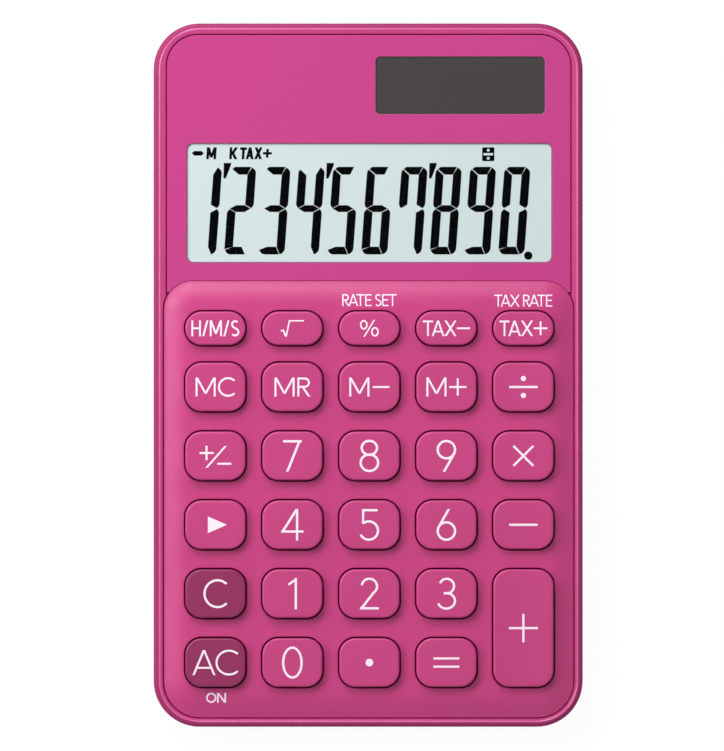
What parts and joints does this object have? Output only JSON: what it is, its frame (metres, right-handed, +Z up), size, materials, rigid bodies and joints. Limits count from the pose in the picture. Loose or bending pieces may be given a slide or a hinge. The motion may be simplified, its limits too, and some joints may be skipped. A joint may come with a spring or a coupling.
{
  "type": "desk calculator",
  "caption": "Slim solar desk calculator: two-shell case, inlaid panel with display and solar windows, pillow deck with sprung rounded keys over a rubber dome mat.",
  "frame": {"origin": "centre of the bounding box on the plane of the feet, on which the calculator lies", "axes": "+X to the right across the keys, +Y towards the display along the length, +Z up out of the keys"},
  "size_m": [0.071, 0.1164, 0.0084],
  "materials": {
    "shell_pink": "fine satin, moulded",
    "panel_pink": "smooth satin",
    "key_pink": "satin, moulded",
    "key_dark": "satin, moulded",
    "clear_lens": "clear, polished",
    "dark_lens": "tinted, polished",
    "display_glass": "polished, grey-green",
    "reflector_film": "satin",
    "rubber": "matt",
    "board": "satin lacquer",
    "resin_black": "smooth",
    "ceramic": "matt",
    "solar_glass": "polished, dark",
    "spring_steel": "bright, nickel plated",
    "screw_steel": "zinc plated"
  },
  "bodies": {
    "case": {"rear_cover": "shell_pink", "front_case": "shell_pink", "display_panel": "panel_pink", "display_window": "clear_lens", "solar_window": "dark_lens", "lcd_front_glass": "display_glass", "lcd_rear_glass": "display_glass", "lcd_reflector": "reflector_film", "lcd_connector_strip": "rubber", "circuit_board": "board", "key_mat": "rubber", "processor": "resin_black", "capacitor": "ceramic", "voltage_limiter": "resin_black", "solar_cell": "solar_glass", "solar_lead_positive": "spring_steel", "solar_lead_negative": "spring_steel", "battery_cell": "spring_steel", "battery_contact_negative": "spring_steel", "battery_contact_positive": "spring_steel", "case_screw_1": "screw_steel", "case_screw_2": "screw_steel", "case_screw_3": "screw_steel", "case_screw_4": "screw_steel", "case_screw_5": "screw_steel", "case_screw_6": "screw_steel"},
    "key_time": {"key_time": "key_pink"},
    "key_root": {"key_root": "key_pink"},
    "key_percent": {"key_percent": "key_pink"},
    "key_tax_minus": {"key_tax_minus": "key_pink"},
    "key_tax_plus": {"key_tax_plus": "key_pink"},
    "key_memory_clear": {"key_memory_clear": "key_pink"},
    "key_memory_recall": {"key_memory_recall": "key_pink"},
    "key_memory_minus": {"key_memory_minus": "key_pink"},
    "key_memory_plus": {"key_memory_plus": "key_pink"},
    "key_divide": {"key_divide": "key_pink"},
    "key_sign": {"key_sign": "key_pink"},
    "key_7": {"key_7": "key_pink"},
    "key_8": {"key_8": "key_pink"},
    "key_9": {"key_9": "key_pink"},
    "key_multiply": {"key_multiply": "key_pink"},
    "key_shift": {"key_shift": "key_pink"},
    "key_4": {"key_4": "key_pink"},
    "key_5": {"key_5": "key_pink"},
    "key_6": {"key_6": "key_pink"},
    "key_minus": {"key_minus": "key_pink"},
    "key_clear": {"key_clear": "key_dark"},
    "key_1": {"key_1": "key_pink"},
    "key_2": {"key_2": "key_pink"},
    "key_3": {"key_3": "key_pink"},
    "key_plus": {"key_plus": "key_pink"},
    "key_all_clear": {"key_all_clear": "key_dark"},
    "key_0": {"key_0": "key_pink"},
    "key_point": {"key_point": "key_pink"},
    "key_equals": {"key_equals": "key_pink"}
  },
  "joints": [
    {"name": "press_time", "type": "slide", "parent": "case", "child": "key_time", "axis": [0, 0, -1], "range_m": [0, 0.0008], "stiffness_N_per_m": 600, "deforming": ["key_mat"]},
    {"name": "press_root", "type": "slide", "parent": "case", "child": "key_root", "axis": [0, 0, -1], "range_m": [0, 0.0008], "stiffness_N_per_m": 600, "deforming": ["key_mat"]},
    {"name": "press_percent", "type": "slide", "parent": "case", "child": "key_percent", "axis": [0, 0, -1], "range_m": [0, 0.0008], "stiffness_N_per_m": 600, "deforming": ["key_mat"]},
    {"name": "press_tax_minus", "type": "slide", "parent": "case", "child": "key_tax_minus", "axis": [0, 0, -1], "range_m": [0, 0.0008], "stiffness_N_per_m": 600, "deforming": ["key_mat"]},
    {"name": "press_tax_plus", "type": "slide", "parent": "case", "child": "key_tax_plus", "axis": [0, 0, -1], "range_m": [0, 0.0008], "stiffness_N_per_m": 600, "deforming": ["key_mat"]},
    {"name": "press_memory_clear", "type": "slide", "parent": "case", "child": "key_memory_clear", "axis": [0, 0, -1], "range_m": [0, 0.0008], "stiffness_N_per_m": 600, "deforming": ["key_mat"]},
    {"name": "press_memory_recall", "type": "slide", "parent": "case", "child": "key_memory_recall", "axis": [0, 0, -1], "range_m": [0, 0.0008], "stiffness_N_per_m": 600, "deforming": ["key_mat"]},
    {"name": "press_memory_minus", "type": "slide", "parent": "case", "child": "key_memory_minus", "axis": [0, 0, -1], "range_m": [0, 0.0008], "stiffness_N_per_m": 600, "deforming": ["key_mat"]},
    {"name": "press_memory_plus", "type": "slide", "parent": "case", "child": "key_memory_plus", "axis": [0, 0, -1], "range_m": [0, 0.0008], "stiffness_N_per_m": 600, "deforming": ["key_mat"]},
    {"name": "press_divide", "type": "slide", "parent": "case", "child": "key_divide", "axis": [0, 0, -1], "range_m": [0, 0.0008], "stiffness_N_per_m": 600, "deforming": ["key_mat"]},
    {"name": "press_sign", "type": "slide", "parent": "case", "child": "key_sign", "axis": [0, 0, -1], "range_m": [0, 0.0008], "stiffness_N_per_m": 600, "deforming": ["key_mat"]},
    {"name": "press_7", "type": "slide", "parent": "case", "child": "key_7", "axis": [0, 0, -1], "range_m": [0, 0.0008], "stiffness_N_per_m": 600, "deforming": ["key_mat"]},
    {"name": "press_8", "type": "slide", "parent": "case", "child": "key_8", "axis": [0, 0, -1], "range_m": [0, 0.0008], "stiffness_N_per_m": 600, "deforming": ["key_mat"]},
    {"name": "press_9", "type": "slide", "parent": "case", "child": "key_9", "axis": [0, 0, -1], "range_m": [0, 0.0008], "stiffness_N_per_m": 600, "deforming": ["key_mat"]},
    {"name": "press_multiply", "type": "slide", "parent": "case", "child": "key_multiply", "axis": [0, 0, -1], "range_m": [0, 0.0008], "stiffness_N_per_m": 600, "deforming": ["key_mat"]},
    {"name": "press_shift", "type": "slide", "parent": "case", "child": "key_shift", "axis": [0, 0, -1], "range_m": [0, 0.0008], "stiffness_N_per_m": 600, "deforming": ["key_mat"]},
    {"name": "press_4", "type": "slide", "parent": "case", "child": "key_4", "axis": [0, 0, -1], "range_m": [0, 0.0008], "stiffness_N_per_m": 600, "deforming": ["key_mat"]},
    {"name": "press_5", "type": "slide", "parent": "case", "child": "key_5", "axis": [0, 0, -1], "range_m": [0, 0.0008], "stiffness_N_per_m": 600, "deforming": ["key_mat"]},
    {"name": "press_6", "type": "slide", "parent": "case", "child": "key_6", "axis": [0, 0, -1], "range_m": [0, 0.0008], "stiffness_N_per_m": 600, "deforming": ["key_mat"]},
    {"name": "press_minus", "type": "slide", "parent": "case", "child": "key_minus", "axis": [0, 0, -1], "range_m": [0, 0.0008], "stiffness_N_per_m": 600, "deforming": ["key_mat"]},
    {"name": "press_clear", "type": "slide", "parent": "case", "child": "key_clear", "axis": [0, 0, -1], "range_m": [0, 0.0008], "stiffness_N_per_m": 600, "deforming": ["key_mat"]},
    {"name": "press_1", "type": "slide", "parent": "case", "child": "key_1", "axis": [0, 0, -1], "range_m": [0, 0.0008], "stiffness_N_per_m": 600, "deforming": ["key_mat"]},
    {"name": "press_2", "type": "slide", "parent": "case", "child": "key_2", "axis": [0, 0, -1], "range_m": [0, 0.0008], "stiffness_N_per_m": 600, "deforming": ["key_mat"]},
    {"name": "press_3", "type": "slide", "parent": "case", "child": "key_3", "axis": [0, 0, -1], "range_m": [0, 0.0008], "stiffness_N_per_m": 600, "deforming": ["key_mat"]},
    {"name": "press_plus", "type": "slide", "parent": "case", "child": "key_plus", "axis": [0, 0, -1], "range_m": [0, 0.0008], "stiffness_N_per_m": 600, "deforming": ["key_mat"]},
    {"name": "press_all_clear", "type": "slide", "parent": "case", "child": "key_all_clear", "axis": [0, 0, -1], "range_m": [0, 0.0008], "stiffness_N_per_m": 600, "deforming": ["key_mat"]},
    {"name": "press_0", "type": "slide", "parent": "case", "child": "key_0", "axis": [0, 0, -1], "range_m": [0, 0.0008], "stiffness_N_per_m": 600, "deforming": ["key_mat"]},
    {"name": "press_point", "type": "slide", "parent": "case", "child": "key_point", "axis": [0, 0, -1], "range_m": [0, 0.0008], "stiffness_N_per_m": 600, "deforming": ["key_mat"]},
    {"name": "press_equals", "type": "slide", "parent": "case", "child": "key_equals", "axis": [0, 0, -1], "range_m": [0, 0.0008], "stiffness_N_per_m": 600, "deforming": ["key_mat"]}
  ]
}
